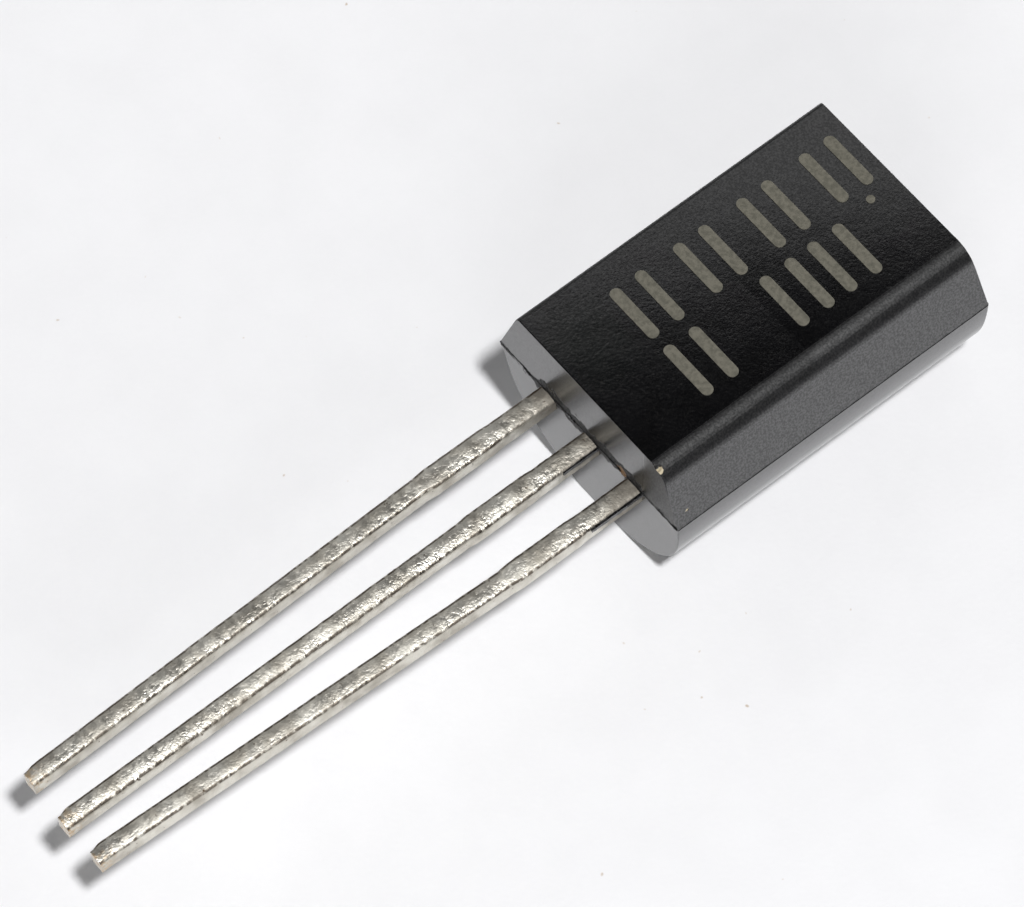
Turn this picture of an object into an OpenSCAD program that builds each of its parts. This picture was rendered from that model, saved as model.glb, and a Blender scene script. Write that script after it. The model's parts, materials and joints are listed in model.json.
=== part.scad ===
// Moulded small-signal transistor in the long variant of the TO-92 outline.
// It lies on its rounded back: leads towards -Y, marking face up (+Z).
// The origin is under the middle of the whole part, on the surface it rests on.
// All sizes are in millimetres and all angles in degrees.

/* [Moulded body] */
// Width across the parting line
body_w = 6.0; // [5.0:0.1:7.0]
// Length from the lead end to the far end
body_l = 8.5; // [7.5:0.1:10.0]
// Height of the front half, from the parting line to the marking face
front_h = 1.65; // [1.3:0.05:2.2]
// Depth of the back half, from the parting line to the flat it rests on
back_h = 3.15; // [3.0:0.05:3.5]
// Width of the marking face, measured to its unrounded edges
face_w = 4.8; // [4.2:0.1:5.4]
// Radius of the two long edges of the marking face
edge_r = 0.5; // [0.1:0.05:0.8]
// Width of the flat along the middle of the rounded back
back_flat_w = 1.25; // [0.8:0.05:2.0]
// Draft of the back half's sides, before they run into the round back
back_side_draft = 7; // [3:0.5:10]
// Draft of the front half's lead end
front_lead_end_draft = 3; // [1:0.5:6]
// Draft of the front half's far end
front_far_end_draft = 4.5; // [1:0.5:6]
// Draft of the back half's two ends
back_end_draft = 1.7; // [0.5:0.1:4]
// Sideways mismatch between the front and the back mould
mould_shift = 0.08; // [0:0.01:0.15]

/* [Leads] */
// Distance between neighbouring leads where they leave the body
lead_pitch = 1.45; // [1.2:0.01:1.7]
// Thickness of the sheet the lead frame is stamped from
lead_t = 0.42; // [0.3:0.01:0.55]
// Length of the middle lead, from the body to its tip
lead_l = 13.95; // [8:0.05:16]
// How much shorter the two outer leads are cut
outer_lead_trim = 0.05; // [0:0.01:0.5]
// Width of a lead at the body
root_w = 0.5; // [0.4:0.01:0.6]
// Width over what is left of the dam bar
dam_w = 0.54; // [0.5:0.01:0.65]
// Width of the free lead just past the dam bar
free_w = 0.48; // [0.4:0.01:0.55]
// Width of a lead at its tip
tip_w = 0.45; // [0.35:0.01:0.5]
// Distance from the body to the near side of the dam bar
dam_near = 1.7; // [1.0:0.1:2.5]
// Length of the dam bar stub along the lead
dam_l = 1.5; // [0.5:0.1:2.0]
// Length over which the stub runs out into the lead
dam_ramp = 0.25; // [0.1:0.05:0.5]
// How far the emitter lead's tip is bent in towards the middle lead
emitter_toe_in = 0.25; // [0:0.01:0.5]
// How far the base lead's tip is bent in towards the middle lead
base_toe_in = 0.35; // [0:0.01:0.5]
// How far the collector lead's tip leans towards the base lead
collector_lean = 0.04; // [0:0.01:0.2]
// Length of the sheared-off corner at each tip
tip_corner_l = 0.25; // [0.05:0.01:0.5]
// Depth of the sheared-off corner at each tip
tip_corner_w = 0.09; // [0.02:0.01:0.2]

/* [Lead frame inside the body] */
// Length of plain outer lead inside the body, before its bond post
post_neck = 1.2; // [0.6:0.1:1.8]
// Width of a bond post
post_w = 1.3; // [0.8:0.05:1.6]
// Length of a bond post
post_l = 1.2; // [0.8:0.05:1.6]
// Gap between the bond posts and the die flag
flag_gap = 0.35; // [0.2:0.05:0.6]
// Width of the die flag on the collector lead
flag_w = 3.4; // [2.4:0.1:4.2]
// Length of the die flag
flag_l = 3.6; // [2.4:0.1:4.2]

/* [Die and its joint] */
// Edge of the square silicon die
die_w = 1.3; // [0.8:0.05:1.8]
// Thickness of the die
die_t = 0.25; // [0.15:0.01:0.4]
// Distance from the flag's near edge to the middle of the die
die_inset = 1.35; // [1.0:0.05:1.8]
// Thickness of the solder layer under the die
solder_t = 0.03; // [0.01:0.01:0.08]
// How far the solder shows all round the die
solder_fillet = 0.06; // [0.02:0.01:0.15]
// Thickness of the aluminium electrodes on the die
electrode_t = 0.01; // [0.005:0.005:0.02]
// Width of the emitter electrode
emitter_electrode_w = 0.5; // [0.3:0.05:0.6]
// Width of the base electrode
base_electrode_w = 0.35; // [0.25:0.05:0.5]
// Margin between the electrodes and the edge of the die
electrode_margin = 0.12; // [0.05:0.01:0.2]

/* [Bond wires] */
// Diameter of the gold wire
wire_d = 0.05; // [0.03:0.005:0.08]
// Diameter of the ball bond on the electrode
ball_d = 0.14; // [0.1:0.01:0.2]
// Height of the ball bond
ball_h = 0.05; // [0.03:0.01:0.08]
// Straight rise of the wire above the ball
wire_rise = 0.08; // [0.04:0.01:0.2]
// Radius of the wire's loop
loop_r = 0.18; // [0.1:0.01:0.3]
// Diameter of the stitch bond on the post
stitch_d = 0.16; // [0.1:0.01:0.25]
// Thickness of the stitch bond
stitch_t = 0.02; // [0.01:0.005:0.04]

/* [Ink marks] */
// Thickness of the ink film
ink_t = 0.02; // [0.01:0.005:0.04]
// Width of one printed bar
bar_w = 0.28; // [0.15:0.01:0.35]
// Length of one printed bar
bar_l = 1.5; // [1.0:0.05:1.6]
// Distance between the two bars of a pair
pair_gap = 0.68; // [0.5:0.01:0.9]
// Distance of the two rows of bars from the middle of the face
row_offset = 0.9; // [0.85:0.01:1.1]
// Distance from the lead end to the middle of the first pair in both rows
first_pair_y = 2.4; // [1.6:0.05:2.6]
// Spacing of the four pairs in the first row
pair_pitch_1 = 1.72; // [1.4:0.01:1.75]
// Spacing of the four places in the second row, whose second place is left empty
pair_pitch_2 = 1.3; // [1.1:0.01:1.6]
// Diameter of the printed dot
dot_d = 0.2; // [0.15:0.01:0.4]
// Gap between the second row's last bar and the dot
dot_gap = 1.0; // [0.4:0.05:1.2]

/* [Hidden] */
$fn = 64;

// Heights above the resting surface
parting_z = back_h;
face_z = parting_z + front_h;
die_z = parting_z + solder_t;
electrode_z = die_z + die_t;
bond_z = electrode_z + electrode_t;

// The lead end of the body, so that the whole part is centred on the origin
root_y = (lead_l - body_l) / 2;
// The middles of the two mould halves; the lead frame lies in the back one
front_x = -mould_shift / 2;
frame_x = mould_shift / 2;

// Lead frame, measured from the lead end of the body
flag_y = post_neck + post_l + flag_gap;
die_y = flag_y + die_inset;
post_y = post_neck + post_l / 2;
// The electrodes' middles, measured from the middle of the die, at its edge nearest the posts
emitter_pad = [
    -(die_w / 2 - electrode_margin - emitter_electrode_w / 2),
    -(die_w / 2 - electrode_margin - emitter_electrode_w / 2)
];
base_pad = [
    die_w / 2 - electrode_margin - base_electrode_w / 2,
    -(die_w / 2 - electrode_margin - base_electrode_w / 2)
];

// Round back: a circle tangent to both drafted sides that leaves the flat at back_h.
// Its centre lies back_drop below the parting line, found where the circle passes the flat's edge.
side_reach = body_w / 2 * cos(back_side_draft);
side_slope = sin(back_side_draft);
quad_a = 1 - side_slope * side_slope;
quad_b = back_h - side_reach * side_slope;
quad_c = back_h * back_h + back_flat_w * back_flat_w / 4 - side_reach * side_reach;
back_drop = (quad_b - sqrt(quad_b * quad_b - quad_a * quad_c)) / quad_a;
back_r = side_reach - back_drop * side_slope;

// Slope of the front half's sides and the inset of the rounded edge's centre
front_lean = atan((body_w - face_w) / 2 / front_h);
edge_inset = edge_r * tan((90 - front_lean) / 2);

// Extra length that lets a cutting or crossing shape pass right through
past = 1;

// A section in X and Z, drawn out along Y over the length of the body
module along_body() {
    translate([0, body_l, 0]) rotate([90, 0, 0]) linear_extrude(height = body_l) children();
}

// A profile in Y and Z, drawn out along X past both sides of the body
module across_body() {
    translate([-body_w / 2 - past, 0, 0]) rotate([90, 0, 90])
        linear_extrude(height = body_w + 2 * past) children();
}

// Section of the front half above the parting line: leaning sides and two rounded edges
module front_section() {
    edge_x = face_w / 2 - edge_inset;
    side_x = edge_x + edge_r * cos(front_lean);
    side_z = front_h - edge_r + edge_r * sin(front_lean);
    polygon([
        [-body_w / 2, 0], [body_w / 2, 0],
        [side_x, side_z], [edge_x, front_h], [-edge_x, front_h], [-side_x, side_z]
    ]);
    for (side = [-1, 1])
        translate([side * edge_x, front_h - edge_r]) circle(r = edge_r);
}

// Section of the back half below the parting line: drafted sides, round back and flat
module back_section() {
    tangent_x = back_r * cos(back_side_draft);
    tangent_z = -back_drop - back_r * sin(back_side_draft);
    intersection() {
        union() {
            polygon([
                [-body_w / 2, 0], [body_w / 2, 0],
                [tangent_x, tangent_z], [-tangent_x, tangent_z]
            ]);
            translate([0, -back_drop]) circle(r = back_r);
        }
        translate([-body_w, -back_h]) square([2 * body_w, back_h]);
    }
}

// Side view of one mould half with its two drafted ends; h is negative for the back half
module end_profile(h, lead_end_draft, far_end_draft) {
    polygon([
        [0, 0], [body_l, 0],
        [body_l - abs(h) * tan(far_end_draft), h], [abs(h) * tan(lead_end_draft), h]
    ]);
}

// The body as it leaves the mould, with nothing inside; its lead end is at Y = 0
module body_form() {
    translate([front_x, 0, parting_z]) intersection() {
        along_body() front_section();
        across_body() end_profile(front_h, front_lead_end_draft, front_far_end_draft);
    }
    translate([frame_x, 0, parting_z]) intersection() {
        along_body() back_section();
        across_body() end_profile(-back_h, back_end_draft, back_end_draft);
    }
}

// Plan of one lead outside the body. It runs straight past the dam bar, then to its tip.
module lead_outside(lean, l) {
    dam_far = dam_near + dam_l;
    stations = [
        [0, 0, root_w], [dam_near - dam_ramp, 0, root_w],
        [dam_near, 0, dam_w], [dam_far, 0, dam_w],
        [dam_far + dam_ramp, 0, free_w], [l - tip_corner_l, 1, tip_w], [l, 1, tip_w]
    ];
    last = len(stations) - 1;
    polygon(concat(
        [for (i = [0 : last])
            [stations[i][1] * lean - stations[i][2] / 2 + (i == last ? tip_corner_w : 0), -stations[i][0]]],
        [for (i = [last : -1 : 0])
            [stations[i][1] * lean + stations[i][2] / 2, -stations[i][0]]]
    ));
}

// Plan of an outer lead inside the body: a neck and the post that a wire is bonded to
module post_inside() {
    translate([-root_w / 2, 0]) square([root_w, post_neck]);
    translate([-post_w / 2, post_neck]) square([post_w, post_l]);
}

// Plan of the middle lead inside the body: a stem and the flag that carries the die
module flag_inside() {
    translate([-root_w / 2, 0]) square([root_w, flag_y]);
    translate([-flag_w / 2, flag_y]) square([flag_w, flag_l]);
}

// Gives a plan the thickness of the sheet, with its upper face on the parting plane
module stamped() {
    translate([frame_x, root_y, parting_z - lead_t]) linear_extrude(height = lead_t) children();
}

module emitter_lead() {
    color("#a9a59b") stamped() translate([-lead_pitch, 0]) {
        lead_outside(emitter_toe_in, lead_l - outer_lead_trim);
        post_inside();
    }
}

module collector_lead() {
    color("#a9a59b") stamped() {
        lead_outside(collector_lean, lead_l);
        flag_inside();
    }
}

module base_lead() {
    color("#a9a59b") stamped() translate([lead_pitch, 0]) {
        lead_outside(-base_toe_in, lead_l - outer_lead_trim);
        post_inside();
    }
}

// A square plate whose middle is at a place measured from the middle of the die
module plate(place, w, z, t) {
    translate([frame_x + place[0] - w / 2, root_y + die_y + place[1] - w / 2, z]) cube([w, w, t]);
}

module die_attach_solder() {
    color("#9b9b99") plate([0, 0], die_w + 2 * solder_fillet, parting_z, solder_t);
}

module silicon_die() {
    color("#5c6270") plate([0, 0], die_w, die_z, die_t);
}

module emitter_electrode() {
    color("#c9ccd0") plate(emitter_pad, emitter_electrode_w, electrode_z, electrode_t);
}

module base_electrode() {
    color("#c9ccd0") plate(base_pad, base_electrode_w, electrode_z, electrode_t);
}

// A bond wire from an electrode to the post of one outer lead (side is -1 or 1).
// Ball, straight rise, loop and a straight run down to the stitch on the post.
module bond_wire(pad, side) {
    reach = [side * lead_pitch - pad[0], post_y - die_y - pad[1]];
    span = norm(reach);
    // Height of the loop's centre above the post
    centre_z = bond_z - parting_z + ball_h + wire_rise;
    // Slope of the run, to a thousandth of a degree, so that loop and run share one end face
    slope = atan2(centre_z, span - loop_r) + asin(loop_r / norm([span - loop_r, centre_z]));
    fall = round(1000 * slope) / 1000;
    run_l = (centre_z + loop_r * cos(fall)) / sin(fall);
    color("#d4a93a")
    translate([frame_x + pad[0], root_y + die_y + pad[1], parting_z])
    rotate([0, 0, atan2(reach[1], reach[0])]) {
        translate([0, 0, bond_z - parting_z]) cylinder(d = ball_d, h = ball_h);
        difference() {
            translate([loop_r, 0, centre_z]) {
                translate([-loop_r, 0, -wire_rise - ball_h]) cylinder(d = wire_d, h = wire_rise + ball_h);
                mirror([1, 0, 0]) rotate([90, 0, 0])
                    rotate_extrude(angle = 90 + fall) translate([loop_r, 0]) circle(d = wire_d);
                rotate([0, fall, 0]) translate([0, 0, loop_r]) rotate([0, 90, 0])
                    cylinder(d = wire_d, h = run_l + wire_d);
            }
            translate([span - past, -past / 2, -past]) cube([2 * past, past, past]);
        }
        translate([span, 0, 0]) cylinder(d = stitch_d, h = stitch_t);
    }
}

module emitter_bond_wire() {
    bond_wire(emitter_pad, -1);
}

module base_bond_wire() {
    bond_wire(base_pad, 1);
}

// The moulding compound closes round everything inside it without a gap
module epoxy_body() {
    color("#262426") difference() {
        translate([0, root_y, 0]) body_form();
        emitter_lead();
        collector_lead();
        base_lead();
        die_attach_solder();
        silicon_die();
        emitter_electrode();
        base_electrode();
        emitter_bond_wire();
        base_bond_wire();
    }
}

// One printed bar with round ends, lying across the body
module bar() {
    square([bar_l - bar_w, bar_w], center = true);
    for (end = [-1, 1])
        translate([end * (bar_l - bar_w) / 2, 0]) circle(d = bar_w);
}

// Two rows of paired bars and a dot
module ink_marking() {
    color("#8f8878") translate([front_x, root_y + first_pair_y, face_z]) linear_extrude(height = ink_t) {
        for (i = [0 : 3], edge = [-1, 1])
            translate([-row_offset, i * pair_pitch_1 + edge * pair_gap / 2]) bar();
        for (i = [0, 2, 3], edge = [-1, 1])
            translate([row_offset, i * pair_pitch_2 + edge * pair_gap / 2]) bar();
        translate([row_offset - bar_l / 2, 3 * pair_pitch_2 + pair_gap / 2 + dot_gap]) circle(d = dot_d);
    }
}

epoxy_body();
emitter_lead();
collector_lead();
base_lead();
silicon_die();
die_attach_solder();
emitter_electrode();
base_electrode();
emitter_bond_wire();
base_bond_wire();
ink_marking();
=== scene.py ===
"""Looks of a moulded three-lead transistor in the long variant of the TO-92 outline.

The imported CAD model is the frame, and its boxes place every piece. Sizes in the dataclass
fields are millimetres and degrees; a finished piece is in metres, as the frame is.
"""

from __future__ import annotations

import json
import logging
import math
from contextlib import contextmanager
from dataclasses import dataclass, field
from enum import Enum
from typing import Any, Callable, Iterator, Sequence

import bmesh
import bpy
from mathutils import Matrix, Vector

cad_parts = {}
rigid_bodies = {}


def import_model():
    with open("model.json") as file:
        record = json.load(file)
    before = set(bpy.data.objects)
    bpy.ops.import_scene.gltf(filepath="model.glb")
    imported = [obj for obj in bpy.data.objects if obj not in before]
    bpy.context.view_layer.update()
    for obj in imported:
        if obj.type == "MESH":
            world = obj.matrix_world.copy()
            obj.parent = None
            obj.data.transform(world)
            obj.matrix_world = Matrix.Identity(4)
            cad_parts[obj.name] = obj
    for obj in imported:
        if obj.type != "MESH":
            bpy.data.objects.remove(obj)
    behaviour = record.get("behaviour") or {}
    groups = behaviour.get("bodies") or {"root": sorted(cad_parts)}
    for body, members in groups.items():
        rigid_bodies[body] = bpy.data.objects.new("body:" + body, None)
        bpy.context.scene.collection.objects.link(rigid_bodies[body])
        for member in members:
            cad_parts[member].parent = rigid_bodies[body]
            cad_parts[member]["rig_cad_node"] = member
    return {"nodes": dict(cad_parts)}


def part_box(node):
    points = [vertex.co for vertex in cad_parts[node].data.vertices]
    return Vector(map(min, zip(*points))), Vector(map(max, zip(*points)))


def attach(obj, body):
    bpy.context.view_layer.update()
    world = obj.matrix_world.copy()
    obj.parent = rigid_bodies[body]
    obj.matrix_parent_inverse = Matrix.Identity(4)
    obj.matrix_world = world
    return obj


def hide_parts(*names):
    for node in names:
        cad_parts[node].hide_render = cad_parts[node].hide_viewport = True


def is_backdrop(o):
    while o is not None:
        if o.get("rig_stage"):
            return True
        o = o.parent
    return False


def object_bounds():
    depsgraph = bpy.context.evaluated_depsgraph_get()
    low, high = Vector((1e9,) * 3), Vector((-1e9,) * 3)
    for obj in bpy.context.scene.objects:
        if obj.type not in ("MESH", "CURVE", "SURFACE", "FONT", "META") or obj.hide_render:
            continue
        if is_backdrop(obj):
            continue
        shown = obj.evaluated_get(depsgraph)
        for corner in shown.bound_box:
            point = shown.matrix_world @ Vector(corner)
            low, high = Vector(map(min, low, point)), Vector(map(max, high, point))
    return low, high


MM = 0.001
PER_MM = 1000.0
BODY = "root"
# Distances in millimetres: two places that are one, room in a test of place, what lies clearly
# to one side of a lead's middle, how little of its length an edge across the part spends along
# it, corners that are merged, and the reach of a cutting plane.
TOUCH = 1e-4
SLACK = 1e-3
ASIDE = 0.1
ACROSS = 0.5
DOUBLE = 2e-4
CUT_REACH = 1e-5
# A union or a cut: how often it is tried, how far aside the next try is, and the share of the
# solid that a good one leaves.
TRIES = 4
HAIR = (0.0011, 0.0007, -0.0013)
LEAST_LEFT = 0.7
SEED_STEP = (3.7, 1.9, 2.3)
# Settings of shader nodes.
LINE = {"operation": "MULTIPLY_ADD"}
CLAMPED = {"operation": "MULTIPLY_ADD", "use_clamp": True}
TIMES = {"operation": "MULTIPLY"}
LARGER = {"operation": "MAXIMUM"}
COLOURS = {"data_type": "RGBA"}
LOG = logging.getLogger("transistor")

Colour = tuple[float, float, float, float]
Triple = tuple[float, float, float]
Pair = tuple[float, float]
Stops = tuple[Pair, ...]
Spots = tuple[tuple[Triple, float], ...]
Socket = bpy.types.NodeSocket
Adder = Callable[..., bpy.types.Node]
Wish = Callable[[Any], bool]

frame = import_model()


# ---------------------------------------------------------------- small shared helpers


def srgb(code: str) -> Colour:
    """Converts an sRGB hex code to the linear colour a shader takes.

    Args:
        code: Six hex digits after a hash sign.

    Returns:
        Linear red, green, blue and an alpha of one.
    """
    parts = [int(code[i : i + 2], 16) / 255 for i in (1, 3, 5)]
    linear = [c / 12.92 if c <= 0.04045 else ((c + 0.055) / 1.055) ** 2.4 for c in parts]
    return (linear[0], linear[1], linear[2], 1.0)


def node_box(name: str) -> tuple[Vector, Vector]:
    """Gives a CAD node's box in millimetres.

    Args:
        name: The node's name.

    Returns:
        Its lowest and its highest corner.
    """
    low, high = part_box(name)
    return low * PER_MM, high * PER_MM


def deselect() -> None:
    """Deselects every object."""
    bpy.ops.object.select_all(action="DESELECT")


def added(name: str, tool: Callable[..., Any], **settings: Any) -> bpy.types.Object:
    """Adds an object with one of Blender's own tools.

    Args:
        name: The object's name.
        tool: The operator that adds it.
        **settings: The operator's settings.

    Returns:
        The new object, the only selected one.
    """
    deselect()
    tool(**settings)
    bpy.context.active_object.name = name
    return bpy.context.active_object


class Pick(Enum):
    """What a selection in edit mode is made of."""

    VERT = (True, False, False)
    EDGE = (False, True, False)
    FACE = (False, False, True)


class Join(Enum):
    """How one closed shape acts on another."""

    UNION = "UNION"
    DIFFERENCE = "DIFFERENCE"


class Workpiece:
    """One mesh on the bench, modelled in millimetres with Blender's own tools."""

    def __init__(self, name: str) -> None:
        """Starts with a name and no mesh."""
        self.name = name
        self.obj: bpy.types.Object = None

    def activate(self) -> None:
        """Makes this the one selected object."""
        deselect()
        self.obj.select_set(True)
        bpy.context.view_layer.objects.active = self.obj

    def _start(self, tool: Callable[..., Any], **settings: Any) -> "Workpiece":
        """Takes a new primitive as this piece, with its place in its mesh.

        Args:
            tool: The operator that adds it.
            **settings: The operator's settings.

        Returns:
            This piece.
        """
        self.obj = added(self.name, tool, **settings)
        self.obj.data.name = self.name
        bpy.ops.object.transform_apply()
        return self

    def block(self, low: Sequence[float], high: Sequence[float]) -> "Workpiece":
        """Starts from a block between its lowest and its highest corner."""
        low, high = Vector(low), Vector(high)
        box = {"location": (low + high) / 2, "scale": high - low}
        return self._start(bpy.ops.mesh.primitive_cube_add, size=1, **box)

    def bar(self, radius: float, length: float, middle: Sequence[float], sides: int) -> "Workpiece":
        """Starts from a bar along Y with many flat sides."""
        shape = {"vertices": sides, "radius": radius, "depth": length, "location": middle}
        turned = (math.radians(90), 0, 0)
        return self._start(bpy.ops.mesh.primitive_cylinder_add, rotation=turned, **shape)

    def stone(self, radius: float, middle: Sequence[float]) -> "Workpiece":
        """Starts from a small faceted ball, the blank for a chip."""
        ball = {"subdivisions": 2, "radius": radius, "location": middle}
        return self._start(bpy.ops.mesh.primitive_ico_sphere_add, **ball)

    def twin(self, source: "bpy.types.Object | Workpiece", scale: float = 1.0) -> "Workpiece":
        """Starts from a copy of another object, with a mesh of its own.

        Args:
            source: The object or piece that is copied.
            scale: Factor from its units to millimetres.

        Returns:
            This piece.
        """
        origin = source.obj if isinstance(source, Workpiece) else source
        self.obj = bpy.data.objects.new(self.name, origin.data.copy())
        bpy.context.scene.collection.objects.link(self.obj)
        self.obj.data.materials.clear()
        self.activate()
        self.obj.scale = (scale, scale, scale)
        bpy.ops.object.transform_apply()
        with self.editing("SELECT"):
            bpy.ops.mesh.remove_doubles(threshold=DOUBLE)
        return self

    @contextmanager
    def editing(self, action: str = "DESELECT") -> Iterator[None]:
        """Opens the piece in edit mode with nothing or everything selected, and closes it again.

        Args:
            action: Blender's name for what is done to the whole mesh first.

        Returns:
            What a with statement holds open.
        """
        self.activate()
        bpy.ops.object.mode_set(mode="EDIT")
        bpy.ops.mesh.select_all(action=action)
        try:
            yield
        finally:
            bpy.ops.object.mode_set(mode="OBJECT")

    def pick(self, kind: Pick, wanted: Wish) -> int:
        """Selects elements by place or normal, and nothing else.

        Args:
            kind: Vertices, edges or faces.
            wanted: True for an element that is taken.

        Returns:
            How many were taken.
        """
        bpy.context.tool_settings.mesh_select_mode = kind.value
        bpy.ops.mesh.select_all(action="DESELECT")
        mesh = bmesh.from_edit_mesh(self.obj.data)
        found = {Pick.VERT: mesh.verts, Pick.EDGE: mesh.edges, Pick.FACE: mesh.faces}[kind]
        taken = [element for element in found if wanted(element)]
        for element in taken:
            element.select_set(True)
        mesh.select_flush_mode()
        bmesh.update_edit_mesh(self.obj.data)
        return len(taken)

    def cut(self, point: Sequence[float], normal: Sequence[float]) -> None:
        """Cuts everything off on the outer side of a plane and closes the cut.

        Args:
            point: A point on the plane.
            normal: The plane's normal, towards what goes.
        """
        bpy.ops.mesh.select_all(action="SELECT")
        bpy.ops.mesh.bisect(
            plane_co=point, plane_no=normal, use_fill=True, clear_outer=True, threshold=CUT_REACH
        )

    def bevel(self, wanted: Wish, width: float, segments: int) -> None:
        """Rounds edges.

        Args:
            wanted: True for an edge that is rounded.
            width: Distance from the old edge to the round's two ends.
            segments: Steps in the round.
        """
        if self.pick(Pick.EDGE, wanted):
            bpy.ops.mesh.bevel(offset=width, segments=segments, profile=0.5, affect="EDGES")

    def modify(self, kind: str, **settings: Any) -> None:
        """Adds a modifier and applies it.

        Args:
            kind: Blender's name for the modifier.
            **settings: Its settings.
        """
        self.activate()
        modifier = self.obj.modifiers.new(kind.lower(), kind)
        for key, value in settings.items():
            setattr(modifier, key, value)
        bpy.ops.object.modifier_apply(modifier=modifier.name)

    def volume(self) -> float:
        """Measures the solid.

        Returns:
            Its volume in cubic millimetres.
        """
        mesh = bmesh.new()
        mesh.from_mesh(self.obj.data)
        size = mesh.calc_volume()
        mesh.free()
        return size

    def combine(self, other: "Workpiece", how: Join) -> None:
        """Joins another piece to this one, or cuts it away, and uses it up.

        The solver can lose the whole solid where two faces all but coincide, so a try that
        leaves too little is made again with the other piece a hair aside.

        Args:
            other: The other piece.
            how: Union or difference.
        """
        least, spare = LEAST_LEFT * self.volume(), self.obj.data.copy()
        for _ in range(TRIES):
            self.modify("BOOLEAN", object=other.obj, operation=how.value, solver="EXACT")
            if self.volume() > least:
                break
            self.obj.data = spare.copy()
            other.obj.data.transform(Matrix.Translation(HAIR))
        bpy.data.meshes.remove(spare)
        other.discard()

    def roughen(self, depth: float, grain: float, seed: int, wanted: str = "") -> None:
        """Moves the surface in and out by a cloudy pattern.

        Args:
            depth: From the lowest to the highest point.
            grain: Size of the pattern.
            seed: Shifts the pattern, so that two pieces differ.
            wanted: Vertex group that it acts on, or nothing for all.
        """
        texture = bpy.data.textures.new(f"{self.name}_grain", "CLOUDS")
        texture.noise_scale = grain
        texture.noise_depth = 2
        shift = Vector([seed * step for step in SEED_STEP])
        self.obj.data.transform(Matrix.Translation(shift))
        settings = {"texture": texture, "strength": depth, "vertex_group": wanted}
        self.modify("DISPLACE", mid_level=0.5, texture_coords="LOCAL", **settings)
        self.obj.data.transform(Matrix.Translation(-shift))
        bpy.data.textures.remove(texture)

    def clean(self) -> "Workpiece":
        """Merges doubles, drops faces without area and turns faces outwards.

        Returns:
            The piece.
        """
        with self.editing("SELECT"):
            bpy.ops.mesh.remove_doubles(threshold=DOUBLE)
            bpy.ops.mesh.dissolve_degenerate(threshold=DOUBLE / 2)
            bpy.ops.mesh.normals_make_consistent(inside=False)
        return self

    def swell(self, depth: float) -> "Workpiece":
        """Moves every face outwards, so that a cutter laps over the ones it only touches.

        Args:
            depth: How far, in millimetres.

        Returns:
            The piece.
        """
        with self.editing("SELECT"):
            bpy.ops.transform.shrink_fatten(value=depth, use_even_offset=True)
        return self

    def discard(self) -> None:
        """Removes a shape that was only a tool."""
        bpy.data.objects.remove(self.obj, do_unlink=True)

    def finish(self, smooth_below: float, flat_faces: bool = False) -> bpy.types.Object:
        """Merges doubles, turns faces outwards, smooths and goes over to metres.

        Args:
            smooth_below: Edges flatter than this many degrees are shaded smooth.
            flat_faces: Whether large faces keep their own normal up to their rounded edges.

        Returns:
            The finished object.
        """
        self.clean()
        self.activate()
        bpy.ops.object.shade_smooth_by_angle(angle=math.radians(smooth_below))
        if flat_faces:
            self.modify("WEIGHTED_NORMAL", mode="FACE_AREA", weight=50, keep_sharp=True)
        self.obj.scale = (MM, MM, MM)
        bpy.ops.object.transform_apply()
        return self.obj


class Shader:
    """The node tree of one material or of the world."""

    def __init__(self, tree: bpy.types.NodeTree) -> None:
        """Starts from an empty tree."""
        self.tree = tree
        tree.nodes.clear()

    def add(self, kind: str, *first: Any, stops: Stops = (), **more: Any) -> bpy.types.Node:
        """Adds a node with its settings and links.

        Args:
            kind: The node's type name, without the ShaderNode in front.
            *first: What goes into its first inputs: a value, an output, or a node, which
                stands for its own first output.
            stops: Place and grey value of each stop, for a ramp.
            **more: Its settings, and what goes into an input of that name.

        Returns:
            The new node.
        """
        node = self.tree.nodes.new(f"ShaderNode{kind}")
        names = {plain(socket) for socket in node.inputs}
        for key in [key for key in more if key not in names]:
            setattr(node, key, more.pop(key))
        ready = [socket for socket in node.inputs if socket.enabled]
        named = {plain(socket): socket for socket in reversed(ready)}
        for socket, value in (*zip(ready, first), *((named[key], more[key]) for key in more)):
            if isinstance(value, bpy.types.Node):
                value = next(output for output in value.outputs if output.enabled)
            if isinstance(value, Socket):
                self.tree.links.new(value, socket)
            else:
                socket.default_value = value
        if stops:
            band = node.color_ramp.elements
            while len(band) < len(stops):
                band.new(0.5)
            for element, (place, grey) in zip(band, stops):
                element.position, element.color = place, (grey, grey, grey, 1.0)
        return node


def plain(socket: Socket) -> str:
    """Gives an input's name as a keyword."""
    return socket.name.lower().replace(" ", "_")


def dress(obj: bpy.types.Object, material: bpy.types.Material) -> None:
    """Gives a piece or a CAD node its finish.

    Args:
        obj: The piece.
        material: Its material.
    """
    if len(obj.material_slots) == 0:
        obj.data.materials.append(material)
    for place in obj.material_slots:
        place.material = material
    if "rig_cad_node" not in obj:
        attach(obj, BODY)


# ---------------------------------------------------------------- finishes


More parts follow.
